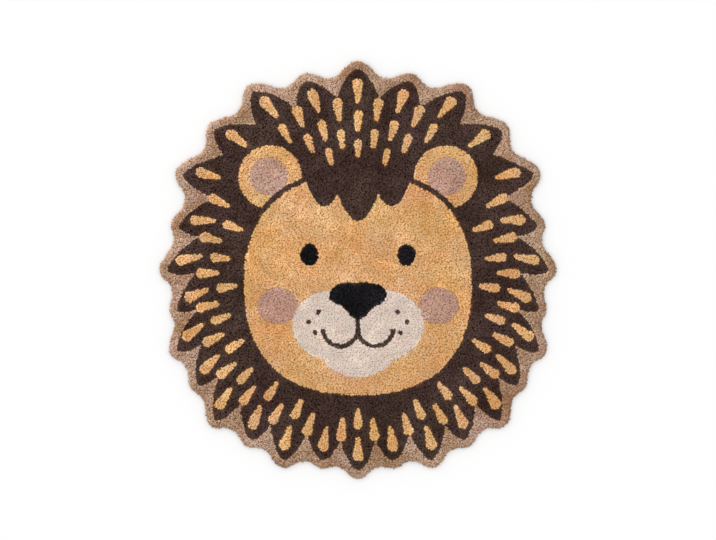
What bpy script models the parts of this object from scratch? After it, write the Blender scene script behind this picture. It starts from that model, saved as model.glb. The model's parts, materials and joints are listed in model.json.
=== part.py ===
"""Lion-shaped tufted rug: one flat slab of pile cloth in the outline of a lion's mane.

The mane is a ring of pointed locks. The rim is the same ring pushed out by a plain band,
which also fills the valleys between the locks, so that the cloth can be cut and hemmed.
The rug lies face up: +Y is the top of the head, +Z is up, and the origin is on the floor
under the middle of the rug. All sizes are in metres and all bearings are clockwise from +Y.
"""

import bmesh
import bpy
import numpy as np

# Driving sizes
RUG_WIDTH = 1.05
RUG_LENGTH = 1.105
RIM_BAND = 0.022            # plain band outside the tips of the locks
VALLEY_FILL = 0.066         # radius of the widest disc that the band closes between two locks
LOCK_DEPTH = 0.060          # from a lock's tip down to the valley beside it
LOCK_ROUNDNESS = 1.55       # 1 is a straight-sided spike, 2 a round lobe
HEAD_SQUARENESS = 2.5       # 2 is an ellipse through the tips, more is squarer

# The cloth's section at the rim, from the floor up: 14 mm in all
HEM_TUCK = 0.004            # how far the turned hem stands back under the pile
HEM_HEIGHT = 0.0025
SIDE_HEIGHT = 0.0060        # the pile's upright side
SHOULDER_ROWS = (           # the pile's rounded shoulder
    {"inset": 0.0014, "rise": 0.0028},
    {"inset": 0.0027, "rise": 0.0017},
    {"inset": 0.0049, "rise": 0.0010},
)

# One row for each lock on the right half; the left half mirrors it. "reach" is a share of
# the head's own reach at the tip, and "sweep" is how far the tip leans down the rug.
LOCKS = (
    {"bearing": 0.0, "reach": 1.000, "sweep": 0.0},
    {"bearing": 14.0, "reach": 0.955, "sweep": 1.5},
    {"bearing": 28.0, "reach": 0.985, "sweep": 2.5},
    {"bearing": 42.0, "reach": 0.955, "sweep": 3.5},
    {"bearing": 56.5, "reach": 0.985, "sweep": 4.5},
    {"bearing": 71.0, "reach": 0.950, "sweep": 5.0},
    {"bearing": 85.0, "reach": 1.000, "sweep": 5.0},
    {"bearing": 97.5, "reach": 0.955, "sweep": 5.0},
    {"bearing": 109.5, "reach": 0.990, "sweep": 4.5},
    {"bearing": 121.5, "reach": 0.955, "sweep": 4.0},
    {"bearing": 133.0, "reach": 0.985, "sweep": 3.5},
    {"bearing": 144.5, "reach": 0.955, "sweep": 3.0},
    {"bearing": 156.5, "reach": 0.985, "sweep": 2.0},
    {"bearing": 168.5, "reach": 0.955, "sweep": 1.0},
    {"bearing": 180.0, "reach": 1.000, "sweep": 0.0},
)

# How finely the outlines are worked out
STEPS_PER_LOCK = 60
BEARING_STEPS = 1440
RIM_POINTS = 400

YARN_COLOUR = (0.686, 0.381, 0.168, 1.0)    # ochre cotton
YARN_ROUGHNESS = 0.95


def clear_scene():
    for obj in list(bpy.data.objects):
        bpy.data.objects.remove(obj, do_unlink=True)


def at_bearing(reach, bearing):
    """Points at these reaches and bearings (in radians), one a row."""
    return np.stack([reach * np.sin(bearing), reach * np.cos(bearing)], axis=1)


def head_reach(degrees):
    """How far the head's smooth outline lies from the middle, inside the rim band."""
    bearing = np.radians(degrees)
    across = np.abs(np.sin(bearing)) / (RUG_WIDTH / 2 - RIM_BAND)
    along = np.abs(np.cos(bearing)) / (RUG_LENGTH / 2 - RIM_BAND)
    return (across**HEAD_SQUARENESS + along**HEAD_SQUARENESS) ** (-1 / HEAD_SQUARENESS)


def all_locks():
    """The locks right round the head as rows of bearing, tip reach and sweep."""
    right = [
        (row["bearing"], row["reach"] * head_reach(row["bearing"] + row["sweep"]), row["sweep"])
        for row in LOCKS
    ]
    left = [(360 - bearing, reach, -sweep) for bearing, reach, sweep in reversed(right[1:-1])]
    return right + left


def mane_outline():
    """The ring of locks: each rises from the valley before it to its tip and falls again."""
    locks = all_locks()
    across = np.linspace(-1, 1, STEPS_PER_LOCK, endpoint=False)
    rise = 1 - np.abs(across) ** LOCK_ROUNDNESS
    pieces = []
    for i, (bearing, tip, sweep) in enumerate(locks):
        before, after = locks[i - 1], locks[(i + 1) % len(locks)]
        half_before = (bearing - before[0]) % 360 / 2
        half_after = (after[0] - bearing) % 360 / 2
        valleys = min(before[1], tip) - LOCK_DEPTH, min(tip, after[1]) - LOCK_DEPTH
        root = np.interp(across, (-1, 1), valleys)
        turn = across * np.where(across < 0, half_before, half_after) + sweep * rise
        pieces.append(at_bearing(root + (tip - root) * rise, np.radians(bearing + turn)))
    return np.concatenate(pieces)


def moved_outline(outline, distance):
    """The outline pushed out by a distance, or drawn in if it is negative, as a disc rolls round it."""
    reach, bearing = np.hypot(*outline.T), np.arctan2(*outline.T)
    radius, side = abs(distance), np.sign(distance)
    looks = np.linspace(0, 2 * np.pi, BEARING_STEPS, endpoint=False)
    moved = []
    for look in looks:
        ahead, aside = reach * np.cos(bearing - look), reach * np.sin(bearing - look)
        near = (np.abs(aside) < radius) & (ahead > 0)
        found = ahead[near] + side * np.sqrt(radius**2 - aside[near] ** 2)
        moved.append(found.max() if distance > 0 else found.min())
    return at_bearing(np.array(moved), looks)


def evenly_spaced(outline, count):
    """The same closed outline as this many points, equally far apart along it."""
    loop = np.vstack([outline, outline[:1]])
    run = np.concatenate([[0], np.hypot(*np.diff(loop, axis=0).T).cumsum()])
    stops = np.linspace(0, run[-1], count, endpoint=False)
    return np.stack([np.interp(stops, run, loop[:, axis]) for axis in (0, 1)], axis=1)


def rim_outline():
    """The rug's edge: the locks pushed out to close the valleys, and drawn back to the band."""
    dense = STEPS_PER_LOCK * len(all_locks())
    closed = moved_outline(evenly_spaced(mane_outline(), dense), VALLEY_FILL)
    rim = moved_outline(evenly_spaced(closed, dense), RIM_BAND - VALLEY_FILL)
    right = evenly_spaced(rim, RIM_POINTS)[: RIM_POINTS // 2 + 1]
    right[[0, -1], 0] = 0.0
    return np.vstack([right, right[-2:0:-1] * (-1, 1)])


def yarn_material(name, colour, roughness):
    material = bpy.data.materials.new(name)
    material.use_nodes = True
    shader = material.node_tree.nodes["Principled BSDF"]
    shader.inputs["Base Color"].default_value = colour
    shader.inputs["Roughness"].default_value = roughness
    shader.inputs["Metallic"].default_value = 0.0
    return material


def flat_rug(name, outline, material):
    """The pile slab: upright sides, a rounded shoulder above them and a tucked hem below."""
    shape = bmesh.new()
    low = shape.faces.new([shape.verts.new((x, y, HEM_HEIGHT)) for x, y in outline])
    if low.normal.z > 0:
        low.normal_flip()
    raised = bmesh.ops.extrude_face_region(shape, geom=[low], use_keep_orig=True)["geom"]
    top = next(part for part in raised if isinstance(part, bmesh.types.BMFace))
    bmesh.ops.translate(shape, verts=list(top.verts), vec=(0, 0, SIDE_HEIGHT))
    bmesh.ops.recalc_face_normals(shape, faces=list(shape.faces))
    for row in SHOULDER_ROWS:
        bmesh.ops.inset_region(
            shape, faces=[top], thickness=row["inset"], depth=row["rise"], use_even_offset=True
        )
    bmesh.ops.inset_region(
        shape, faces=[low], thickness=HEM_TUCK, depth=HEM_HEIGHT, use_even_offset=True
    )
    mesh = bpy.data.meshes.new(name)
    shape.to_mesh(mesh)
    shape.free()
    mesh.materials.append(material)
    mesh.shade_smooth()
    mesh.set_sharp_from_angle(angle=np.radians(50))
    rug = bpy.data.objects.new(name, mesh)
    bpy.context.scene.collection.objects.link(rug)
    return rug


def main():
    clear_scene()
    yarn = yarn_material("cotton_yarn", YARN_COLOUR, YARN_ROUGHNESS)
    flat_rug("rug", rim_outline(), yarn)


main()
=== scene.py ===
"""A lion-shaped rug for a child's room, in short cut pile, laid face up on a pale floor.

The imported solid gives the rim, the thickness and the place. In its stead come a canvas with a
turned hem, and the pile: a leaning tuft of yarn about every five millimetres, in one joined mesh
for each patch of colour, or for a part of a large patch. The lion is a plain motif. It has a ring
of pointed locks with rows of drop-shaped strokes, two round ears, a squarish face with a fringe,
round cheeks, a muzzle of two puffs and a chin, and a rounded nose.

All sizes are in metres. +Y is the top of the head, +Z is up out of the pile, and bearings are
in degrees, clockwise from +Y.
"""

import functools
import json
import math

import bpy
import numpy as np
from bpy.props import FloatProperty, FloatVectorProperty, PointerProperty
from bpy.types import Operator, Panel, PropertyGroup
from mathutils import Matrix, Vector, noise

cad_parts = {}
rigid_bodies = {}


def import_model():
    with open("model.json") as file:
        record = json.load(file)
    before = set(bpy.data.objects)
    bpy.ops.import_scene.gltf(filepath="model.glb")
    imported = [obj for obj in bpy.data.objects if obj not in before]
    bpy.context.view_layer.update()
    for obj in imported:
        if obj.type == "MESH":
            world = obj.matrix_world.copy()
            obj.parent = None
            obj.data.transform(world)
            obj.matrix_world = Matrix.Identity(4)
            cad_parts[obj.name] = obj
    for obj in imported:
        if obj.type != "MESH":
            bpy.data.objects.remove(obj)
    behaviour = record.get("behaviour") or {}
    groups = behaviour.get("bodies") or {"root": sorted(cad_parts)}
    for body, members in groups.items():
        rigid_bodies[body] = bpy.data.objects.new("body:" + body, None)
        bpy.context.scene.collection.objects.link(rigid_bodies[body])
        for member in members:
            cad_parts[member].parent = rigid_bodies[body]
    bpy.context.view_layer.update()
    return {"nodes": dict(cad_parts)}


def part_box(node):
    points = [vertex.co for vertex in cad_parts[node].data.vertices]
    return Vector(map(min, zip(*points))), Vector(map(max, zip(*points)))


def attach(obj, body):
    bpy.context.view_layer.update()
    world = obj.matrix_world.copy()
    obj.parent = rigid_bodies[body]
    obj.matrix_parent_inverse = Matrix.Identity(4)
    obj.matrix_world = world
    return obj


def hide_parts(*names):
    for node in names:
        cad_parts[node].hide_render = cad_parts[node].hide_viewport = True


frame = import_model()
RUG_LOW, RUG_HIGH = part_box("rug")

bl_info = {
    "name": "Lion rug",
    "version": (1, 0, 0),
    "blender": (4, 5, 0),
    "location": "3D View > Sidebar > Lion rug",
    "description": "Tufts a lion-shaped children's rug onto its packed solid",
    "category": "Add Mesh",
}

RUG_WIDTH = RUG_HIGH.x - RUG_LOW.x
RUG_LENGTH = RUG_HIGH.y - RUG_LOW.y
PILE_TOP = RUG_HIGH.z
SEED = 7

# The mane, as the solid's outline is built on it. "reach" is a share of the head's own reach
# at the tip, and "sweep" is how far the tip leans down the rug. The left half mirrors this.
RIM_BAND = 0.022
LOCK_DEPTH = 0.060
LOCK_ROUNDNESS = 1.55
HEAD_SQUARENESS = 2.5
STEPS_PER_LOCK = 24
LOCKS = (
    {"bearing": 0.0, "reach": 1.000, "sweep": 0.0},
    {"bearing": 14.0, "reach": 0.955, "sweep": 1.5},
    {"bearing": 28.0, "reach": 0.985, "sweep": 2.5},
    {"bearing": 42.0, "reach": 0.955, "sweep": 3.5},
    {"bearing": 56.5, "reach": 0.985, "sweep": 4.5},
    {"bearing": 71.0, "reach": 0.950, "sweep": 5.0},
    {"bearing": 85.0, "reach": 1.000, "sweep": 5.0},
    {"bearing": 97.5, "reach": 0.955, "sweep": 5.0},
    {"bearing": 109.5, "reach": 0.990, "sweep": 4.5},
    {"bearing": 121.5, "reach": 0.955, "sweep": 4.0},
    {"bearing": 133.0, "reach": 0.985, "sweep": 3.5},
    {"bearing": 144.5, "reach": 0.955, "sweep": 3.0},
    {"bearing": 156.5, "reach": 0.985, "sweep": 2.0},
    {"bearing": 168.5, "reach": 0.955, "sweep": 1.0},
    {"bearing": 180.0, "reach": 1.000, "sweep": 0.0},
)

# Rings of strokes in the mane, from the tips inwards. "back" is how far the blunt end lies
# behind the lock's tip, "between" puts a stroke between two locks, and "blunt" is half its width.
STROKE_RINGS = (
    {"back": 0.038, "between": False, "length": 0.046, "blunt": 0.0145},
    {"back": 0.080, "between": True, "length": 0.042, "blunt": 0.0135},
    {"back": 0.122, "between": False, "length": 0.038, "blunt": 0.0125},
    {"back": 0.160, "between": True, "length": 0.034, "blunt": 0.0115},
    {"back": 0.196, "between": False, "length": 0.030, "blunt": 0.0105},
)
STROKE_POINT = 0.0065       # half the width of a stroke's thin end
STROKE_TAPER = 0.35         # the same as a share of the blunt end, where its room is measured
STROKE_STOPS = 7            # places along a stroke where its room is measured
STROKE_GAP = 0.007          # mane left between a stroke and an ear or the face
EAR_GAP = 0.0078            # the dark line that is left round an ear besides
FACE_GAP = 0.012            # the same round the face

# The head. Each oval has its middle, half its width and half its height.
OUTLINE_WIDTH = 0.013       # the dark line round the face and ears
FACE = {"x": 0.0, "y": -0.040, "wide": 0.300, "high": 0.290, "square": 2.4}
EAR = {"x": 0.232, "y": 0.245, "wide": 0.084, "high": 0.084, "square": 2.0}
EAR_CUP = {"x": 0.235, "y": 0.247, "wide": 0.050, "high": 0.050, "square": 2.0}
CHEEK = {"x": 0.212, "y": -0.095, "wide": 0.054, "high": 0.048, "square": 2.0}
EYE = {"x": 0.128, "y": 0.040, "wide": 0.024, "high": 0.029, "square": 2.0}
PUFF = {"x": 0.070, "y": -0.146, "wide": 0.104, "high": 0.092, "square": 2.0}
CHIN = {"x": 0.0, "y": -0.216, "wide": 0.098, "high": 0.066, "square": 2.0}
NOSE = {"x": 0.0, "y": -0.066, "wide": 0.076, "high": 0.033, "square": 2.4}
NOSE_SIDE = {"from": (0.032, -0.075), "to": (0.0, -0.108), "half": 0.023}
MOUTH_STEM = {"from": (0.0, -0.080), "to": (0.0, -0.160), "half": 0.0055}
SMILE = {"x": 0.046, "y": -0.155, "radius": 0.046, "half": 0.0055}
WHISKER_DOTS = ((0.105, -0.112), (0.130, -0.138), (0.112, -0.166))
WHISKER_DOT = 0.0068
FRINGE_ROOT = 0.272         # where the locks of the fringe start, and below, where each ends
FRINGE = (
    {"x": 0.0, "tip": 0.130, "half": 0.075},
    {"x": 0.088, "tip": 0.168, "half": 0.062},
)

# The pile's edge, row by row from the hem up: how far inside the rim each tuft is rooted and
# ends, how high, and how far apart they stand, as a share of the spacing elsewhere.
EDGE_ROWS = (
    {"root_in": 0.0066, "root_up": 0.0032, "tip_in": 0.0016, "tip_up": 0.0028, "apart": 0.60},
    {"root_in": 0.0058, "root_up": 0.0034, "tip_in": 0.0016, "tip_up": 0.0094, "apart": 0.75},
    {"root_in": 0.0072, "root_up": 0.0060, "tip_in": 0.0038, "tip_up": 0.0124, "apart": 0.90},
    {"root_in": 0.0098, "root_up": 0.0085, "tip_in": 0.0068, "tip_up": 0.0134, "apart": 1.00},
)
EDGE_SIDEWAYS = 0.25        # how far these tufts stand off their places, as a share of the spacing
EDGE_STRAY = 0.0006         # how far their ends stray besides
EDGE_UNEVEN = 0.0005        # how far their heights differ
EDGE_PAINTED_SHADE = -0.06           # the edge tufts stand open to the light, so their tone is lowered by this much as painted shade

# The pile inside the edge rows starts this far inside the rim. Near there its tufts are rooted
# lower, at the heights and distances from the rim given below it.
GRID_STARTS_IN = 0.0088
SHOULDER_IN = (0.0088, 0.0150)
SHOULDER_ROOT_UP = (0.0085, 0.0101)
TIP_DROP = 0.0008           # from the solid's top down to the mean height of the tips
LOWEST = 0.0003             # no yarn lies lower than this above the floor
GIRTHS = (0.85, 1.15)       # how far tufts and plies differ in size and spread

# The smooth drifts that make the tufts lean and rise together. "over" is the distance over which
# a drift changes, where None is the clump size, and "layer" tells the drifts apart. "swing" and
# "level" are how strongly it works on the lean and on the height. The last line is each tuft's
# own part in them.
PILE_DRIFTS = (
    {"over": None, "layer": 0.0, "swing": 1.5, "level": 0.9},
    {"over": 0.030, "layer": 21.0, "swing": 1.4, "level": 0.9},
    {"over": 0.075, "layer": 5.0, "swing": 1.3, "level": 0.8},
)
OWN_DRIFT = {"swing": 0.35, "level": 0.45}

# The drifts of colour, and how far each moves a tuft's tone and hue, which run from 0 to 1 about
# the middle. "own" is the tuft's own part.
FINE = {"over": 0.0065, "layer": 13.0}
PATCHY = {"over": 0.035, "layer": 9.0}
BROAD = {"over": 0.10, "layer": 17.0}
MIDDLE = 0.5
TONE = {"own": 0.17, "fine": 0.12, "patchy": 0.30, "broad": 0.45}
HUE = {"own": 0.12, "fine": 0.10, "broad": 0.45}

# Where two patches meet
WOBBLE = 0.0018             # how far the patchy drift moves the line between them
LOOK_AROUND = 0.5           # how far a tuft looks for another patch, as a share of the spacing
LOOKS_ROUND = 10            # directions in which it looks
EDGE_CLEARING = 0.35        # how far it then moves off, as a share of the distance it looks
MANE_PARTING = 62.0         # bearing at which the mane's pieces meet

# The ground under the pile, and the canvas
GROUND_RINGS = (            # from the hem up, how far inside the rim and how high
    {"in": 0.0050, "up": 0.0},
    {"in": 0.0042, "up": 0.0008},
    {"in": 0.0038, "up": 0.0030},
    {"in": 0.0060, "up": 0.0080},
    {"in": 0.0110, "up": 0.0102},
)
GROUND_STEPS = 48           # rings of the ground from there to the middle
HEM_WIDTH = 0.026
HEM_STEP = 0.0006           # how far the hem's inner edge slopes
HEM_THICK = 0.0008
CANVAS_TOP = 0.0031         # the rug's surface is canvas below this height

# A tuft is a bundle of plies. Each has a triangle at its foot and a short ridge at its end.
TUFT_KEYS = ("root", "tip", "radius", "tone", "hue")
PLIES = 4
FOOT_CORNERS = 3
END_CORNERS = 2
PLY_CORNERS = FOOT_CORNERS + END_CORNERS
PLY_FACES = np.array([[0, 1, 3], [1, 2, 4], [1, 4, 3], [2, 0, 4], [0, 3, 4]])
PLY_OFF = 0.50              # from the tuft's axis to a ply's foot, as a share of its radius
PLY_GATHER = 0.75           # the same at the ends, as a share of the last
PLY_HALF = 0.60             # a ply's radius at the foot, as a share of the tuft's
PLY_END = 0.40              # half the ridge at its end, as a share of the last
PLY_TURN = math.pi / 3      # how far the ridge is turned from the foot's first corner
PLY_STRAY = 0.0003          # how far its end strays
PLY_SHADE = 0.10            # how far the plies of a tuft differ in tone
PLY_RISE = (0.3, 0.3, 0.3, 1.0, 1.0)        # how far up the yarn each corner's colour is, which sets how much painted root shade it takes

PATCH_YARNS = {
    "border": "taupe",
    "mane": "brown",
    "strokes": "ochre",
    "face": "ochre",
    "ears": "ochre",
    "cups": "mauve",
    "cheeks": "mauve",
    "muzzle": "cream",
    "mouth": "brown",
    "nose": "black",
    "eyes": "black",
}

# How far a yarn's strands run to either side of its red, green and blue, how far its colour at
# the root is stepped, as painted shade between the tufts ("root_shade"), how far the ground between
# the tufts is stepped from it, as painted shade ("ground"), and how far the strands differ in hue
# ("warmth"). All are steps on the screen's scale, where black is 0 and white 1. "gloss" and
# "scatter" are the shader's specular level and subsurface weight.
YARN_LOOKS = {
    "ochre": {
        "strands": (0.032, 0.075, 0.115), "root_shade": -0.14, "ground": -0.22,
        "warmth": 0.030, "gloss": 0.50, "scatter": 0.40,
    },
    "brown": {
        "strands": (0.070, 0.075, 0.080), "root_shade": -0.04, "ground": -0.15,
        "warmth": 0.010, "gloss": 0.14, "scatter": 0.20,
    },
    "taupe": {
        "strands": (0.105, 0.130, 0.160), "root_shade": -0.13, "ground": -0.22,
        "warmth": 0.020, "gloss": 0.30, "scatter": 0.10,
    },
    "mauve": {
        "strands": (0.045, 0.065, 0.075), "root_shade": -0.08, "ground": -0.20,
        "warmth": 0.015, "gloss": 0.40, "scatter": 0.40,
    },
    "cream": {
        "strands": (0.010, 0.013, 0.018), "root_shade": 0.00, "ground": -0.14,
        "warmth": 0.006, "gloss": 0.35, "scatter": 0.70,
    },
    "black": {
        "strands": (0.075, 0.060, 0.065), "root_shade": -0.02, "ground": -0.20,
        "warmth": 0.004, "gloss": 0.06, "scatter": 0.0,
    },
}
SCREEN_GAMMA = 2.2
WARMER = (0.3, -0.6, 1.0)   # the way from a golden strand to a pinkish one, in red, green, blue
ROOT_SHADE_TO_FULL = (0.2, 0.85)  # between these heights up the yarn, it goes from its painted root shade to full colour
YARN_ROUGHNESS = 0.55
SCATTER_REACH = (0.0020, 0.0010, 0.0005)    # how far each colour goes inside a yarn
FIBRE_SIZE = 0.0007
FIBRE_RUN = 5.0             # a fibre's length up the pile, as a multiple of its thickness
FIBRE_DETAIL = 3.0
FIBRE_BUMP = 0.0005

# The shades of a noise in a material run over this part of its range, to these shares of the
# colour.
NOISE_SPAN = (0.3, 0.7)
YARN_FLUFF = (0.80, 1.20)
GROUND_FLUFF = (0.8, 1.1)
CANVAS_WEAR = (0.93, 1.05)

CANVAS_WAVES = 260.0        # the weave's scale, which gives a thread every 1.2 mm each way
CANVAS_WAVER = 0.6
CANVAS_PAINTED_SHADE_AND_HIGHLIGHT = (0.72, 1.08)    # a thread's sides in painted shade and its crest in painted highlight, as shares of the colour
CANVAS_WEAR_SCALE = 30.0
CANVAS_BUMP = 0.0003
GROUND_FIBRE_SCALE = 700.0
MATT = {
    "canvas": {"roughness": 0.9, "gloss": 0.2},
    "pile_ground": {"roughness": 0.95, "gloss": 0.1},
    "floor": {"roughness": 0.9, "gloss": 0.0},
}

# The rug and the floor have lamps of their own, as in a studio where the backdrop is lit apart.
# Each has the bearing, the height in degrees and the distance that it shines from, and how many
# degrees wide it looks from the rug.
LAMPS = {
    "key": {"bearing": 315.0, "height": 40.0, "away": 6.0, "spread": 30.0},
    "fill": {"bearing": 135.0, "height": 50.0, "away": 6.0, "spread": 45.0},
    "backdrop": {"bearing": 315.0, "height": 80.0, "away": 40.0, "spread": 95.0},
}
FLOOR_COLOUR = (0.705, 0.705, 0.705, 1.0)
FLOOR_LEVEL = -0.0002       # just under the rug, so that the two faces don't share a plane
FRAME_PIXELS = (716, 540)
RUG_PIXELS = 398            # the rug's width in the picture
SENSOR_WIDTH = 36.0         # millimetres
FARTHEST_SEEN = 100.0

MIX_INPUTS = (0, 6, 7)      # a mix node's sockets for the factor and the two colours
MIX_COLOUR = 2              # and the one that its colour comes out of
NOISE_DETAIL = 2.0

NEAR_LEVEL = 1e-4           # corners of the solid this close in height are level
POINTS_AT_ONCE = 4000       # a limit on the memory that measuring the depth takes


class RugPile(PropertyGroup):
    """The sizes of the pile."""

    spacing: FloatProperty(
        name="Tuft spacing",
        description="Distance between neighbouring tufts",
        default=0.0048,
        min=0.003,
        max=0.012,
        unit="LENGTH",
        precision=4,
    )
    fullness: FloatProperty(
        name="Fullness",
        description="A tuft's radius, as a share of the spacing",
        default=0.64,
        min=0.3,
        max=1.0,
        subtype="FACTOR",
    )
    scatter: FloatProperty(
        name="Scatter",
        description="How far a tuft may stand off its place, as a share of the spacing",
        default=0.34,
        min=0.0,
        max=0.5,
        subtype="FACTOR",
    )
    unevenness: FloatProperty(
        name="Unevenness",
        description="How far the tufts' heights differ",
        default=0.0011,
        min=0.0,
        max=0.004,
        unit="LENGTH",
        precision=4,
    )
    lean: FloatProperty(
        name="Lean",
        description="How far the tips lean together into small clumps",
        default=0.0019,
        min=0.0,
        max=0.005,
        unit="LENGTH",
        precision=4,
    )
    clump: FloatProperty(
        name="Clump size",
        description="Distance over which the tufts lean the same way",
        default=0.0110,
        min=0.003,
        max=0.05,
        unit="LENGTH",
        precision=4,
    )


class RugYarns(PropertyGroup):
    """The colours of the yarns and the canvas, as linear light."""

    ochre: FloatVectorProperty(
        name="Ochre",
        description="Face, ears and strokes",
        subtype="COLOR",
        min=0.0,
        max=1.0,
        default=(0.660, 0.384, 0.161),
    )
    brown: FloatVectorProperty(
        name="Dark brown",
        description="Mane, fringe, outlines, mouth and whisker dots",
        subtype="COLOR",
        min=0.0,
        max=1.0,
        default=(0.0518, 0.0255, 0.0183),
    )
    taupe: FloatVectorProperty(
        name="Taupe",
        description="Border",
        subtype="COLOR",
        min=0.0,
        max=1.0,
        default=(0.408, 0.257, 0.161),
    )
    mauve: FloatVectorProperty(
        name="Mauve brown",
        description="Cheeks and the insides of the ears",
        subtype="COLOR",
        min=0.0,
        max=1.0,
        default=(0.460, 0.286, 0.220),
    )
    cream: FloatVectorProperty(
        name="Cream",
        description="Muzzle and chin",
        subtype="COLOR",
        min=0.0,
        max=1.0,
        default=(0.602, 0.502, 0.437),
    )
    black: FloatVectorProperty(
        name="Near black",
        description="Nose and eyes",
        subtype="COLOR",
        min=0.0,
        max=1.0,
        default=(0.0060, 0.0063, 0.0079),
    )
    canvas: FloatVectorProperty(
        name="Canvas",
        description="The woven cotton that holds the tufts",
        subtype="COLOR",
        min=0.0,
        max=1.0,
        default=(0.66, 0.58, 0.46),
    )


class RugStage(PropertyGroup):
    """The floor, lights and camera."""

    floor_size: FloatProperty(
        name="Floor size",
        description="Side of the square floor",
        default=40.0,
        min=2.0,
        unit="LENGTH",
    )
    camera_height: FloatProperty(
        name="Camera height",
        description="Height of the camera above the floor",
        default=4.2,
        min=1.0,
        unit="LENGTH",
    )
    sky: FloatProperty(
        name="Room light",
        description="Strength of the even light from all round",
        default=0.95,
        min=0.0,
    )
    key: FloatProperty(
        name="Key light",
        description="Strength of the soft light from the upper left, which falls on the rug",
        default=3.55,
        min=0.0,
    )
    fill: FloatProperty(
        name="Fill light",
        description="Strength of the weaker light from the lower right, which falls on the rug",
        default=0.87,
        min=0.0,
    )
    backdrop: FloatProperty(
        name="Backdrop light",
        description="Strength of the light from overhead, which falls on the floor",
        default=1.5,
        min=0.0,
    )


class RugSettings(PropertyGroup):
    """All that a user may change."""

    pile: PointerProperty(type=RugPile)
    yarns: PointerProperty(type=RugYarns)
    stage: PointerProperty(type=RugStage)


# Outlines

def at_bearing(reach, degrees):
    """Points at these reaches and bearings, one a row."""
    turn = np.radians(degrees)
    return np.stack([reach * np.sin(turn), reach * np.cos(turn)], axis=-1)


def head_reach(degrees):
    """How far the head's smooth outline lies from the middle, inside the rim band."""
    turn = math.radians(degrees)
    across = abs(math.sin(turn)) / (RUG_WIDTH / 2 - RIM_BAND)
    along = abs(math.cos(turn)) / (RUG_LENGTH / 2 - RIM_BAND)
    return (across**HEAD_SQUARENESS + along**HEAD_SQUARENESS) ** (-1 / HEAD_SQUARENESS)


def all_locks():
    """The locks right round the head as rows of bearing, tip reach and sweep."""
    right = [
        (row["bearing"], row["reach"] * head_reach(row["bearing"] + row["sweep"]), row["sweep"])
        for row in LOCKS
    ]
    left = [(360 - bearing, reach, -sweep) for bearing, reach, sweep in reversed(right[1:-1])]
    return right + left


def mane_outline():
    """The ring of locks: each rises from the valley before it to its tip and falls again."""
    locks = all_locks()
    across = np.linspace(-1, 1, STEPS_PER_LOCK, endpoint=False)
    rise = 1 - np.abs(across) ** LOCK_ROUNDNESS
    pieces = []
    for i, (bearing, tip, sweep) in enumerate(locks):
        before, after = locks[i - 1], locks[(i + 1) % len(locks)]
        half_before = (bearing - before[0]) % 360 / 2
        half_after = (after[0] - bearing) % 360 / 2
        valleys = min(before[1], tip) - LOCK_DEPTH, min(tip, after[1]) - LOCK_DEPTH
        root = np.interp(across, (-1, 1), valleys)
        turn = across * np.where(across < 0, half_before, half_after) + sweep * rise
        pieces.append(at_bearing(root + (tip - root) * rise, bearing + turn))
    return np.concatenate(pieces)


@functools.lru_cache(maxsize=1)
def rim_outline():
    """The rug's edge, clockwise from +Y, read from the lower end of the solid's upright side."""
    places = np.array([vertex.co for vertex in frame["nodes"]["rug"].data.vertices])
    levels = np.unique(places[:, 2].round(4))
    side = places[np.abs(places[:, 2] - levels[1]) < NEAR_LEVEL, :2]
    side = np.unique(side.round(5), axis=0)
    turn = np.arctan2(side[:, 0], side[:, 1]) % (2 * np.pi)
    return side[np.argsort(turn)]


def way_out(outline):
    """The direction out of a closed outline at each of its points."""
    ahead = np.roll(outline, -1, axis=0) - np.roll(outline, 1, axis=0)
    out = np.stack([-ahead[:, 1], ahead[:, 0]], axis=1)
    return out / np.linalg.norm(out, axis=1, keepdims=True)


def drawn_in(outline, distance):
    """The outline drawn in by a distance, point by point."""
    return outline - way_out(outline) * distance


def points_along(outline, spacing):
    """Points this far apart on a closed outline, and the direction out of it at each."""
    loop = np.vstack([outline, outline[:1]])
    run = np.concatenate([[0], np.hypot(*np.diff(loop, axis=0).T).cumsum()])
    stops = np.linspace(0, run[-1], round(run[-1] / spacing), endpoint=False)
    places = np.stack([np.interp(stops, run, loop[:, axis]) for axis in (0, 1)], axis=1)
    return places, way_out(places)


def depth_inside(points, outline):
    """How far each point lies inside the rim; outside it the value is negative."""
    run = np.roll(outline, -1, axis=0) - outline
    depth = np.empty(len(points))
    for first in range(0, len(points), POINTS_AT_ONCE):
        part = slice(first, first + POINTS_AT_ONCE)
        to = points[part, None, :] - outline
        share = np.clip((to * run).sum(axis=2) / (run * run).sum(axis=1), 0, 1)
        gap = to - share[..., None] * run
        depth[part] = np.sqrt((gap * gap).sum(axis=2).min(axis=1))
    turn = np.arctan2(outline[:, 0], outline[:, 1])
    order = np.argsort(turn)
    reach = np.interp(
        np.arctan2(points[:, 0], points[:, 1]),
        turn[order],
        np.hypot(*outline[order].T),
        period=2 * np.pi,
    )
    return np.where(np.hypot(*points.T) < reach, depth, -depth)


def within(points, outline):
    """True for each point inside a closed outline of any form."""
    order = np.argsort(points[:, 1])
    x, y = points[order].T
    inside = np.zeros(len(points), bool)
    for (x0, y0), (x1, y1) in zip(outline, np.roll(outline, -1, axis=0)):
        first, last = np.searchsorted(y, sorted((y0, y1)))
        edge = x0 + (x1 - x0) * (y[first:last] - y0) / (y1 - y0)
        inside[first:last] ^= x[first:last] < edge
    found = np.empty_like(inside)
    found[order] = inside
    return found


# The motif

def oval(x, y, shape, grow=0.0):
    """True inside an oval, which is squarer than an ellipse if its power is over 2."""
    power = shape["square"]
    across = np.abs((x - shape["x"]) / (shape["wide"] + grow))
    high = np.abs((y - shape["y"]) / (shape["high"] + grow))
    return across**power + high**power < 1


def line(x, y, start, end, half, end_half=None):
    """True on a round-ended line, which may taper."""
    end_half = half if end_half is None else end_half
    run = np.subtract(end, start)
    share = np.clip(((x - start[0]) * run[0] + (y - start[1]) * run[1]) / (run @ run), 0, 1)
    gap = np.hypot(x - start[0] - share * run[0], y - start[1] - share * run[1])
    return gap < half + (end_half - half) * share


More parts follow.
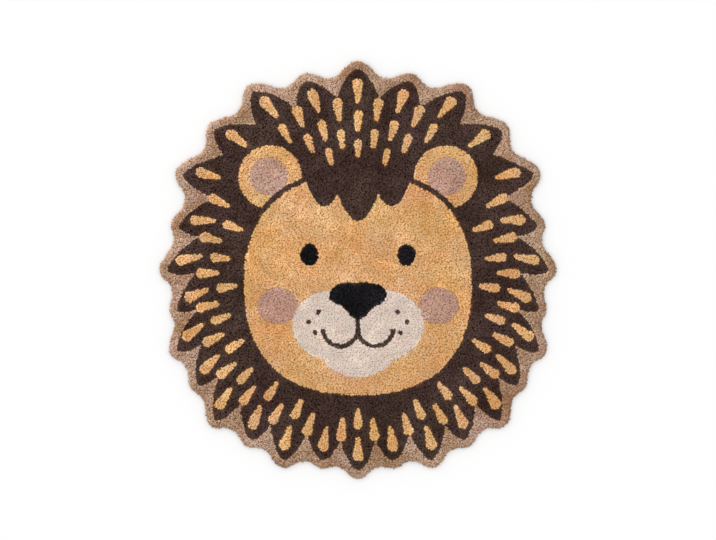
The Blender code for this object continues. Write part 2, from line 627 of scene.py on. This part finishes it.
def strokes():
    """Each stroke in the mane that is clear of the ears and the face, from its thin end."""
    locks = all_locks()
    found = []
    for ring in STROKE_RINGS:
        for before, (bearing, tip, sweep) in zip([locks[-1], *locks], locks):
            if ring["between"]:
                bearing -= (bearing - before[0]) % 360 / 2
                tip = (tip + before[1]) / 2
                sweep = (sweep + before[2]) / 2

            def on_lock(back):
                turn = bearing + sweep * max(0.0, 1 - back / LOCK_DEPTH)
                return at_bearing(tip - back, turn)

            start, end = on_lock(ring["back"] + ring["length"]), on_lock(ring["back"])
            if clear_of_head(start, end, ring["blunt"]):
                found.append((start, end, ring["blunt"]))
    return found


def clear_of_head(start, end, blunt):
    """True for a stroke that leaves some mane between itself and the ears and face."""
    share = np.linspace(0, 1, STROKE_STOPS)
    x, y = (start + (end - start) * share[:, None]).T
    room = blunt * (STROKE_TAPER + (1 - STROKE_TAPER) * share) + STROKE_GAP
    near_ear = oval(np.abs(x), y, EAR, EAR_GAP + room)
    near_face = oval(x, y, FACE, FACE_GAP + room)
    return not (near_ear | near_face).any()


def fringe(x, y):
    """True on the locks that hang over the forehead."""
    hit = np.zeros(len(x), bool)
    for lock in FRINGE:
        share = (FRINGE_ROOT - y) / (FRINGE_ROOT - lock["tip"])
        half = lock["half"] * np.sqrt(np.clip(1 - share, 0, 1))
        hit |= (share > 0) & (share < 1) & (np.abs(x - lock["x"]) < half)
    return hit


def patches(points):
    """The name of the patch at each point, painted from the back of the motif to the front."""
    names = np.full(len(points), "border", dtype="<U8")
    names[within(points, mane_outline())] = "mane"
    for start, end, blunt in strokes():
        names[line(*points.T, start, end, STROKE_POINT, blunt)] = "strokes"
    x, y = np.abs(points[:, 0]), points[:, 1]
    smile = np.abs(np.hypot(x - SMILE["x"], y - SMILE["y"]) - SMILE["radius"]) < SMILE["half"]
    stem = line(x, y, MOUTH_STEM["from"], MOUTH_STEM["to"], MOUTH_STEM["half"])
    names[oval(x, y, EAR, OUTLINE_WIDTH)] = "mane"
    names[oval(x, y, EAR)] = "ears"
    names[oval(x, y, EAR_CUP)] = "cups"
    names[oval(x, y, FACE, OUTLINE_WIDTH)] = "mane"
    names[oval(x, y, FACE)] = "face"
    names[fringe(x, y)] = "mane"
    names[oval(x, y, CHEEK)] = "cheeks"
    names[oval(x, y, EYE)] = "eyes"
    names[oval(x, y, PUFF) | oval(x, y, CHIN)] = "muzzle"
    names[stem | (smile & (y < SMILE["y"]))] = "mouth"
    for dot_x, dot_y in WHISKER_DOTS:
        names[np.hypot(x - dot_x, y - dot_y) < WHISKER_DOT] = "mouth"
    side = line(x, y, NOSE_SIDE["from"], NOSE_SIDE["to"], NOSE_SIDE["half"])
    names[oval(x, y, NOSE) | side] = "nose"
    return names


# The pile

def drift(points, over, layer):
    """Smooth random vectors, one for each point, of up to about 1 in each direction."""
    return np.array([noise.noise_vector((x / over, y / over, layer)) for x, y in points])


def grid_points(spacing, scatter, chance):
    """Places for tufts in staggered rows, each a little off its place."""
    rows = np.arange(RUG_LOW.y, RUG_HIGH.y, spacing * math.sqrt(3) / 2)
    columns = np.arange(RUG_LOW.x - spacing, RUG_HIGH.x, spacing)
    x, y = np.meshgrid(columns, rows)
    x = x + (np.arange(len(rows)) % 2 * spacing / 2)[:, None]
    points = np.stack([x.ravel(), y.ravel()], axis=1)
    return points + chance.uniform(-scatter, scatter, points.shape) * spacing


def clear_of_edges(points, names, room):
    """The points moved off the line where two patches meet, so that the line comes out clean."""
    away = np.zeros_like(points)
    for turn in shares_of_turn(LOOKS_ROUND):
        step = np.array([math.cos(turn), math.sin(turn)])
        away -= step * (patches(points + step * room) != names)[:, None]
    return points + away * room * EDGE_CLEARING * np.pi / LOOKS_ROUND


def laid_pile(places, lean, unevenness, clump, chance):
    """The tips of the tufts at these places, after they have leaned and risen together."""
    swing, level = 0.0, 0.0
    for row in PILE_DRIFTS:
        part = drift(places, row["over"] or clump, row["layer"])
        swing = swing + part[:, :2] * row["swing"]
        level = level + part[:, 2] * row["level"]
    swing += chance.normal(0, OWN_DRIFT["swing"], places.shape)
    level += chance.normal(0, OWN_DRIFT["level"], len(places))
    return np.column_stack([places + swing * lean, PILE_TOP - TIP_DROP + level * unevenness])


def edge_row(rim, row, spacing, chance):
    """The roots and tips of one row of tufts along the rim."""
    edge, out = points_along(rim, spacing * row["apart"])
    side = chance.normal(0, EDGE_SIDEWAYS, edge.shape) * spacing
    stray = chance.normal(0, 1, edge.shape) * EDGE_STRAY
    start = edge - out * row["root_in"] + side
    end = edge - out * row["tip_in"] + side + stray
    up = row["tip_up"] + chance.normal(0, EDGE_UNEVEN, len(edge))
    return np.column_stack([start, np.full(len(edge), row["root_up"])]), np.column_stack([end, up])


@functools.lru_cache(maxsize=2)
def tufts(spacing, fullness, scatter, unevenness, lean, clump):
    """Every tuft on the rug: its root, tip, radius, tone, hue and patch."""
    chance = np.random.default_rng(SEED)
    noise.seed_set(SEED)
    rim = rim_outline()
    places = grid_points(spacing, scatter, chance)
    depth = depth_inside(places, rim)
    places, depth = places[depth > GRID_STARTS_IN], depth[depth > GRID_STARTS_IN]
    roots = [np.column_stack([places, np.interp(depth, SHOULDER_IN, SHOULDER_ROOT_UP)])]
    tips = [laid_pile(places, lean, unevenness, clump, chance)]
    for row in EDGE_ROWS:
        root, tip = edge_row(rim, row, spacing, chance)
        roots.append(root)
        tips.append(tip)
    root, tip = np.concatenate(roots), np.concatenate(tips)
    flat = root[:, :2].copy()
    count = len(flat)

    patchy = drift(flat, **PATCHY)
    wobble = patchy[:, :2] * WOBBLE
    names = patches(flat + wobble)
    moved = clear_of_edges(flat + wobble, names, spacing * LOOK_AROUND) - flat - wobble
    root[:, :2] += moved
    tip[:, :2] += moved

    fine, broad = drift(flat, **FINE), drift(flat, **BROAD)
    tone = MIDDLE + TONE["own"] * chance.normal(0, 1, count) + TONE["fine"] * fine[:, 0]
    tone += TONE["patchy"] * patchy[:, 2] + TONE["broad"] * broad[:, 0]
    # Painted shade on the edge tufts, which stand open to the light
    tone[len(places) :] += EDGE_PAINTED_SHADE
    hue = MIDDLE + HUE["own"] * chance.normal(0, 1, count) + HUE["fine"] * fine[:, 1]
    hue += HUE["broad"] * broad[:, 1]
    return {
        "root": root,
        "tip": tip,
        "radius": spacing * fullness * chance.uniform(*GIRTHS, count),
        "tone": np.clip(tone, 0, 1),
        "hue": np.clip(hue, 0, 1),
        "patch": names,
    }


def tuft_settings(context):
    """The sizes that the pile is laid with."""
    pile = context.scene.lion_rug.pile
    return (
        pile.spacing, pile.fullness, pile.scatter, pile.unevenness, pile.lean, pile.clump
    )


def shares_of_turn(count):
    """This many angles, evenly spread over a full turn."""
    return np.arange(count) * 2 * np.pi / count


def spokes(turn, first, second):
    """Unit vectors at these angles round the axis of each tuft, which the first index counts."""
    each = (slice(None),) + (None,) * (turn.ndim - 1)
    return np.cos(turn)[..., None] * first[each] + np.sin(turn)[..., None] * second[each]


def tuft_mesh(name, root, tip, radius, tone, hue):
    """One mesh of many tufts. Each is a bundle of blunt plies, open at the foot in the ground."""
    chance = np.random.default_rng(len(root))
    count = len(root)
    plies = count * PLIES
    way = (tip - root) / np.linalg.norm(tip - root, axis=1, keepdims=True)
    first = np.cross(way, (0.0, 1.0, 0.0))
    first /= np.linalg.norm(first, axis=1, keepdims=True)
    second = np.cross(way, first)
    place = chance.uniform(0, 2 * np.pi, (count, 1)) + shares_of_turn(PLIES)
    off = chance.uniform(*GIRTHS, (count, PLIES)) * PLY_OFF * radius[:, None]
    aside = spokes(place, first, second) * off[..., None]
    foot = root[:, None] + aside
    end = tip[:, None] + aside * PLY_GATHER + chance.normal(0, PLY_STRAY, (count, PLIES, 3))
    turn = chance.uniform(0, 2 * np.pi, (count, PLIES, 1))
    half = (radius * PLY_HALF)[:, None, None, None]
    low = spokes(turn + shares_of_turn(FOOT_CORNERS), first, second) * half
    ridge = turn + PLY_TURN + shares_of_turn(END_CORNERS)
    high = spokes(ridge, first, second) * half * PLY_END
    points = np.concatenate([foot[:, :, None] + low, end[:, :, None] + high], axis=2)
    points = points.reshape(-1, 3)
    points[:, 2] = np.maximum(points[:, 2], LOWEST)
    starts = np.arange(plies) * PLY_CORNERS
    piece = mesh_object(name, points, (PLY_FACES + starts[:, None, None]).reshape(-1, 3))
    strand = np.clip(tone[:, None] + chance.normal(0, PLY_SHADE, (count, PLIES)), 0, 1)
    store(piece.data, "rise", np.tile(PLY_RISE, plies))
    store(piece.data, "tone", np.repeat(strand.ravel(), PLY_CORNERS))
    store(piece.data, "hue", np.repeat(hue, PLY_CORNERS * PLIES))
    return piece


def mesh_object(name, points, faces):
    """A smooth mesh of triangles, with a flat map seen from above."""
    mesh = bpy.data.meshes.new(name)
    mesh.vertices.add(len(points))
    mesh.vertices.foreach_set("co", points.astype(np.float32).ravel())
    mesh.loops.add(faces.size)
    mesh.loops.foreach_set("vertex_index", faces.astype(np.int32).ravel())
    mesh.polygons.add(len(faces))
    mesh.polygons.foreach_set("loop_start", np.arange(0, faces.size, 3, dtype=np.int32))
    mesh.update(calc_edges=True)
    mesh.shade_smooth()
    low, high = points[:, :2].min(axis=0), points[:, :2].max(axis=0)
    flat = (points[:, :2] - low) / (high - low).max()
    layer = mesh.uv_layers.new(name="OFBake")
    layer.data.foreach_set("uv", flat[faces.ravel()].astype(np.float32).ravel())
    piece = bpy.data.objects.new(name, mesh)
    bpy.context.scene.collection.objects.link(piece)
    return piece


def store(mesh, name, values):
    """Keep one number for each corner point, for the material to read."""
    layer = mesh.attributes.new(name, "FLOAT", "POINT")
    layer.data.foreach_set("value", values.astype(np.float32))


def tuft_piece(context, name, patch, yarn, low=-180.0, high=180.0):
    """The tufts of one patch, or of the part of it between two bearings, as one piece."""
    pile = tufts(*tuft_settings(context))
    bearing = np.degrees(np.arctan2(pile["root"][:, 0], pile["root"][:, 1]))
    mine = (pile["patch"] == patch) & (bearing >= low) & (bearing < high)
    if not mine.any():
        raise RuntimeError(f"no tuft lies in the patch {patch}")
    piece = tuft_mesh(name, *(pile[key][mine] for key in TUFT_KEYS))
    piece.data.materials.append(yarn_material(context, yarn))
    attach(piece, "root")
    return piece


# Materials

def new_material(name, roughness, gloss):
    """A material, its node tree and its shader, with one roughness and gloss all over."""
    material = bpy.data.materials.new(name)
    material.use_nodes = True
    shader = material.node_tree.nodes["Principled BSDF"]
    shader.inputs["Roughness"].default_value = roughness
    shader.inputs["Specular IOR Level"].default_value = gloss
    return material, material.node_tree, shader


def node(tree, kind, **settings):
    """A new node with these settings."""
    made = tree.nodes.new(kind)
    for name, value in settings.items():
        setattr(made, name, value)
    return made


def blended(tree, mode, factor, first, second):
    """A colour mix; each of the last three is a socket or a fixed value."""
    mix = node(tree, "ShaderNodeMix", data_type="RGBA", blend_type=mode)
    for place, value in zip(MIX_INPUTS, (factor, first, second)):
        socket = mix.inputs[place]
        if isinstance(value, bpy.types.NodeSocket):
            tree.links.new(value, socket)
        else:
            socket.default_value = value
    return mix.outputs[MIX_COLOUR]


def spread(tree, value, span, to=(0.0, 1.0)):
    """The value, with this span of it brought to another."""
    scaled = node(tree, "ShaderNodeMapRange")
    tree.links.new(value, scaled.inputs["Value"])
    for name, number in zip(("From Min", "From Max", "To Min", "To Max"), (*span, *to)):
        scaled.inputs[name].default_value = number
    return scaled.outputs["Result"]


def noise_over(tree, places, scale, detail=NOISE_DETAIL):
    """A noise over these coordinates."""
    made = node(tree, "ShaderNodeTexNoise")
    made.inputs["Scale"].default_value = scale
    made.inputs["Detail"].default_value = detail
    tree.links.new(places, made.inputs["Vector"])
    return made.outputs["Fac"]


def fluffed(tree, colour, fluff, shares):
    """The colour times a noise that runs between these shares."""
    return blended(tree, "MULTIPLY", 1.0, colour, spread(tree, fluff, NOISE_SPAN, shares))


def shape_by(tree, shader, height, depth):
    """Let a height work on the surface as bumps this deep."""
    bump = node(tree, "ShaderNodeBump")
    bump.inputs["Distance"].default_value = depth
    tree.links.new(height, bump.inputs["Height"])
    tree.links.new(bump.outputs["Normal"], shader.inputs["Normal"])


def stepped(colour, step):
    """The colour after a step on the screen's scale, as a node's value."""
    shown = np.clip(np.array(colour) ** (1 / SCREEN_GAMMA) + step, 0.0, 1.0)
    return (*shown**SCREEN_GAMMA, 1.0)


def yarn_material(context, yarn):
    """Cotton yarn: strands of slightly different shade, darker towards the root as painted shade,
    with fibres.
    """
    if yarn in bpy.data.materials:
        return bpy.data.materials[yarn]
    look = YARN_LOOKS[yarn]
    colour = getattr(context.scene.lion_rug.yarns, yarn)
    material, tree, shader = new_material(yarn, YARN_ROUGHNESS, look["gloss"])
    tone, hue, rise = (
        node(tree, "ShaderNodeAttribute", attribute_name=name).outputs["Fac"]
        for name in ("tone", "hue", "rise")
    )
    place = node(tree, "ShaderNodeTexCoord")
    upright = node(tree, "ShaderNodeMapping")
    upright.inputs["Scale"].default_value = (1.0, 1.0, 1 / FIBRE_RUN)
    tree.links.new(place.outputs["Object"], upright.inputs["Vector"])
    fibres = noise_over(tree, upright.outputs["Vector"], 1 / FIBRE_SIZE, FIBRE_DETAIL)
    strand_step = np.array(look["strands"])
    turn = np.array(WARMER) * look["warmth"]
    golder, pinker = (
        blended(
            tree,
            "MIX",
            tone,
            stepped(colour, way - strand_step),
            stepped(colour, way + strand_step),
        )
        for way in (-turn, turn)
    )
    strand = blended(tree, "MIX", hue, golder, pinker)
    height = spread(tree, rise, ROOT_SHADE_TO_FULL)
    # Painted shade: the colour is stepped darker towards the root, where shade falls between the
    # tufts
    painted_root_shade = blended(tree, "MIX", height, stepped(colour, look["root_shade"]), strand)
    finished = fluffed(tree, painted_root_shade, fibres, YARN_FLUFF)
    tree.links.new(finished, shader.inputs["Base Color"])
    shape_by(tree, shader, fibres, FIBRE_BUMP)
    shader.inputs["Subsurface Weight"].default_value = look["scatter"]
    shader.inputs["Subsurface Radius"].default_value = SCATTER_REACH
    shader.inputs["Subsurface Scale"].default_value = 1.0
    return material


def canvas_material(context):
    """Plain-woven cotton canvas: threads over and under each other, with painted shade on their
    sides and painted highlight on their crests, a little uneven.
    """
    colour = np.array(context.scene.lion_rug.yarns.canvas)
    material, tree, shader = new_material("canvas", **MATT["canvas"])
    place = node(tree, "ShaderNodeTexCoord").outputs["Object"]
    threads = []
    for direction in ("X", "Y"):
        run = node(tree, "ShaderNodeTexWave", wave_type="BANDS", bands_direction=direction)
        run.inputs["Scale"].default_value = CANVAS_WAVES
        run.inputs["Distortion"].default_value = CANVAS_WAVER
        tree.links.new(place, run.inputs["Vector"])
        threads.append(run.outputs["Color"])
    over = blended(tree, "MULTIPLY", 1.0, *threads)
    # Painted shade between the threads and painted highlight on their crests
    dark, light = ((*np.clip(colour * share, 0, 1), 1.0) for share in CANVAS_PAINTED_SHADE_AND_HIGHLIGHT)
    woven = blended(tree, "MIX", over, dark, light)
    worn = noise_over(tree, place, CANVAS_WEAR_SCALE)
    finished = fluffed(tree, woven, worn, CANVAS_WEAR)
    tree.links.new(finished, shader.inputs["Base Color"])
    shape_by(tree, shader, over, CANVAS_BUMP)
    return material


def ground_material():
    """The yarns' legs between the tufts: each patch's own colour, but darker, as painted shade."""
    material, tree, shader = new_material("pile_ground", **MATT["pile_ground"])
    colour = node(tree, "ShaderNodeAttribute", attribute_name="ground").outputs["Color"]
    place = node(tree, "ShaderNodeTexCoord").outputs["Object"]
    fibres = noise_over(tree, place, GROUND_FIBRE_SCALE)
    finished = fluffed(tree, colour, fibres, GROUND_FLUFF)
    tree.links.new(finished, shader.inputs["Base Color"])
    return material


# The ground and canvas

def ground_piece(context, name):
    """The closed slab under the pile: yarn darkened as painted shade above, and canvas with its hem
    below.
    """
    rim = rim_outline()
    rings = [(drawn_in(rim, HEM_WIDTH + HEM_STEP), HEM_THICK), (drawn_in(rim, HEM_WIDTH), 0.0)]
    rings += [(drawn_in(rim, row["in"]), row["up"]) for row in GROUND_RINGS]
    inner, top = rings[-1]
    rings += [(inner * (1 - step / GROUND_STEPS), top) for step in range(1, GROUND_STEPS)]
    size = len(rim)
    points = [np.column_stack([ring, np.full(size, up)]) for ring, up in rings]
    points.append(np.array([[0.0, 0.0, top], [0.0, 0.0, HEM_THICK]]))
    points = np.concatenate(points)
    here = np.arange(size)
    after = (here + 1) % size
    faces = []
    for ring in range(len(rings) - 1):
        low, high = ring * size, (ring + 1) * size
        faces.append(np.stack([low + here, high + here, high + after], axis=1))
        faces.append(np.stack([low + here, high + after, low + after], axis=1))
    last = (len(rings) - 1) * size
    middle_top, middle_low = len(rings) * size, len(rings) * size + 1
    faces.append(np.stack([last + here, np.full(size, middle_top), last + after], axis=1))
    faces.append(np.stack([after, np.full(size, middle_low), here], axis=1))
    faces = np.concatenate(faces)
    piece = mesh_object(name, points, faces)
    names = patches(points[:, :2])
    yarns = context.scene.lion_rug.yarns
    colours = np.ones((len(points), 4))
    for patch, yarn in PATCH_YARNS.items():
        # Painted shade: the ground between the tufts takes each patch's yarn colour, stepped darker
        colours[names == patch] = stepped(getattr(yarns, yarn), YARN_LOOKS[yarn]["ground"])
    layer = piece.data.attributes.new("ground", "FLOAT_COLOR", "POINT")
    layer.data.foreach_set("color", colours.astype(np.float32).ravel())
    piece.data.materials.append(ground_material())
    piece.data.materials.append(canvas_material(context))
    below = points[faces][:, :, 2].max(axis=1) < CANVAS_TOP
    piece.data.polygons.foreach_set("material_index", below.astype(np.int32))
    piece.data.update()
    return piece


# The stage

def lamp_on(context, name, strength, lit):
    """A soft round lamp that falls only on the objects given, this strong on a face turned to it."""
    row = LAMPS[name]
    lamp = bpy.data.lights.new(name, "AREA")
    lamp.shape = "DISK"
    radius = row["away"] * math.tan(math.radians(row["spread"] / 2))
    lamp.size = 2 * radius
    lamp.energy = strength * math.pi * (row["away"] ** 2 + radius**2)
    made = bpy.data.objects.new(name, lamp)
    height = math.radians(row["height"])
    made.rotation_euler = (math.pi / 2 - height, 0.0, math.radians(180 - row["bearing"]))
    ground = at_bearing(row["away"] * math.cos(height), row["bearing"])
    made.location = (*ground, row["away"] * math.sin(height))
    context.scene.collection.objects.link(made)
    group = bpy.data.collections.new(name)
    for item in lit:
        group.objects.link(item)
    made.light_linking.receiver_collection = group


def floor_piece(context, size):
    """The square floor, in plain matt white."""
    half = size / 2
    corners = [(-half, -half), (half, -half), (half, half), (-half, half)]
    mesh = bpy.data.meshes.new("floor")
    mesh.from_pydata([(x, y, FLOOR_LEVEL) for x, y in corners], [], [(0, 1, 2, 3)])
    material, _, shader = new_material("floor", **MATT["floor"])
    shader.inputs["Base Color"].default_value = FLOOR_COLOUR
    mesh.materials.append(material)
    floor = bpy.data.objects.new("floor", mesh)
    context.scene.collection.objects.link(floor)
    return floor


def room_light(context, strength):
    """Even white light from all round."""
    world = bpy.data.worlds.new("room")
    world.use_nodes = True
    light = world.node_tree.nodes["Background"]
    light.inputs["Color"].default_value = (1.0, 1.0, 1.0, 1.0)
    light.inputs["Strength"].default_value = strength
    context.scene.world = world


def camera_above(context, height):
    """The camera straight above the rug, which then fills as much of the picture as it should."""
    view = bpy.data.cameras.new("camera")
    view.sensor_width = SENSOR_WIDTH
    shown = RUG_WIDTH * FRAME_PIXELS[0] / RUG_PIXELS
    view.lens = view.sensor_width * (height - PILE_TOP) / shown
    view.clip_end = FARTHEST_SEEN
    camera = bpy.data.objects.new("camera", view)
    camera.location = (0.0, 0.0, height)
    context.scene.collection.objects.link(camera)
    context.scene.camera = camera


# The steps

class RUG_OT_border(Operator):
    """Tuft the plain border along the rim"""

    bl_idname = "rug.border"
    bl_label = "Border"

    def execute(self, context):
        tuft_piece(context, "pile_border", "border", "taupe")
        return {"FINISHED"}


class RUG_OT_mane(Operator):
    """Tuft the mane, the fringe and the dark outlines, in three pieces"""

    bl_idname = "rug.mane"
    bl_label = "Mane"

    def execute(self, context):
        tuft_piece(context, "pile_mane_crown", "mane", "brown", -MANE_PARTING, MANE_PARTING)
        tuft_piece(context, "pile_mane_right", "mane", "brown", MANE_PARTING, 180.0)
        tuft_piece(context, "pile_mane_left", "mane", "brown", -180.0, -MANE_PARTING)
        return {"FINISHED"}


class RUG_OT_strokes(Operator):
    """Tuft the drop-shaped strokes in the mane"""

    bl_idname = "rug.strokes"
    bl_label = "Strokes"

    def execute(self, context):
        tuft_piece(context, "pile_strokes", "strokes", "ochre")
        return {"FINISHED"}


class RUG_OT_face(Operator):
    """Tuft the face, in two halves"""

    bl_idname = "rug.face"
    bl_label = "Face"

    def execute(self, context):
        tuft_piece(context, "pile_face_right", "face", "ochre", 0.0, 180.0)
        tuft_piece(context, "pile_face_left", "face", "ochre", -180.0, 0.0)
        return {"FINISHED"}


class RUG_OT_ears(Operator):
    """Tuft the ears and their cups"""

    bl_idname = "rug.ears"
    bl_label = "Ears"

    def execute(self, context):
        tuft_piece(context, "pile_ears", "ears", "ochre")
        tuft_piece(context, "pile_ear_cups", "cups", "mauve")
        return {"FINISHED"}


class RUG_OT_cheeks(Operator):
    """Tuft the round cheeks"""

    bl_idname = "rug.cheeks"
    bl_label = "Cheeks"

    def execute(self, context):
        tuft_piece(context, "pile_cheeks", "cheeks", "mauve")
        return {"FINISHED"}


class RUG_OT_muzzle(Operator):
    """Tuft the muzzle and the mouth and whisker marks on it"""

    bl_idname = "rug.muzzle"
    bl_label = "Muzzle"

    def execute(self, context):
        tuft_piece(context, "pile_muzzle", "muzzle", "cream")
        tuft_piece(context, "pile_mouth", "mouth", "brown")
        return {"FINISHED"}


class RUG_OT_features(Operator):
    """Tuft the nose and the eyes"""

    bl_idname = "rug.features"
    bl_label = "Nose and eyes"

    def execute(self, context):
        tuft_piece(context, "pile_nose", "nose", "black")
        tuft_piece(context, "pile_eyes", "eyes", "black")
        return {"FINISHED"}


class RUG_OT_ground(Operator):
    bl_idname = "rug.ground"
    bl_label = "Canvas"

    def execute(self, context):
        pile = [piece for piece in context.scene.objects if piece.name.startswith("pile_")]
        if not pile:
            raise RuntimeError("tuft the pile before the canvas is laid")
        ground = ground_piece(context, "rug_canvas")
        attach(ground, "root")
        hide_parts("rug")
        return {"FINISHED"}


class RUG_OT_stage(Operator):
    """Set the floor, the lights and the camera straight above the rug"""

    bl_idname = "rug.stage"
    bl_label = "Stage"

    def execute(self, context):
        stage = context.scene.lion_rug.stage
        rug = list(context.scene.objects)
        floor = floor_piece(context, stage.floor_size)
        room_light(context, stage.sky)
        lamp_on(context, "key", stage.key, rug)
        lamp_on(context, "fill", stage.fill, rug)
        lamp_on(context, "backdrop", stage.backdrop, [floor])
        camera_above(context, stage.camera_height)
        context.scene.view_settings.view_transform = "Standard"
        return {"FINISHED"}


STEPS = (
    RUG_OT_border,
    RUG_OT_mane,
    RUG_OT_strokes,
    RUG_OT_face,
    RUG_OT_ears,
    RUG_OT_cheeks,
    RUG_OT_muzzle,
    RUG_OT_features,
    RUG_OT_ground,
    RUG_OT_stage,
)


class RUG_PT_sidebar(Panel):
    """Lists the rug's settings and steps in the sidebar"""

    bl_label = "Lion rug"
    bl_idname = "RUG_PT_sidebar"
    bl_space_type = "VIEW_3D"
    bl_region_type = "UI"
    bl_category = "Lion rug"

    def draw(self, context):
        settings = context.scene.lion_rug
        for group in (settings.pile, settings.yarns, settings.stage):
            box = self.layout.box()
            for name in group.bl_rna.properties.keys():
                if name not in ("rna_type", "name"):
                    box.prop(group, name)
        for step in STEPS:
            self.layout.operator(step.bl_idname)


CLASSES = (RugPile, RugYarns, RugStage, RugSettings, *STEPS, RUG_PT_sidebar)


def register():
    for item in CLASSES:
        bpy.utils.register_class(item)
    bpy.types.Scene.lion_rug = PointerProperty(type=RugSettings)


def unregister():
    del bpy.types.Scene.lion_rug
    for item in reversed(CLASSES):
        bpy.utils.unregister_class(item)


def main():
    register()
    bpy.ops.rug.border()
    bpy.ops.rug.mane()
    bpy.ops.rug.strokes()
    bpy.ops.rug.face()
    bpy.ops.rug.ears()
    bpy.ops.rug.cheeks()
    bpy.ops.rug.muzzle()
    bpy.ops.rug.features()
    bpy.ops.rug.ground()
    bpy.ops.rug.stage()


if __name__ == "__main__":
    main()
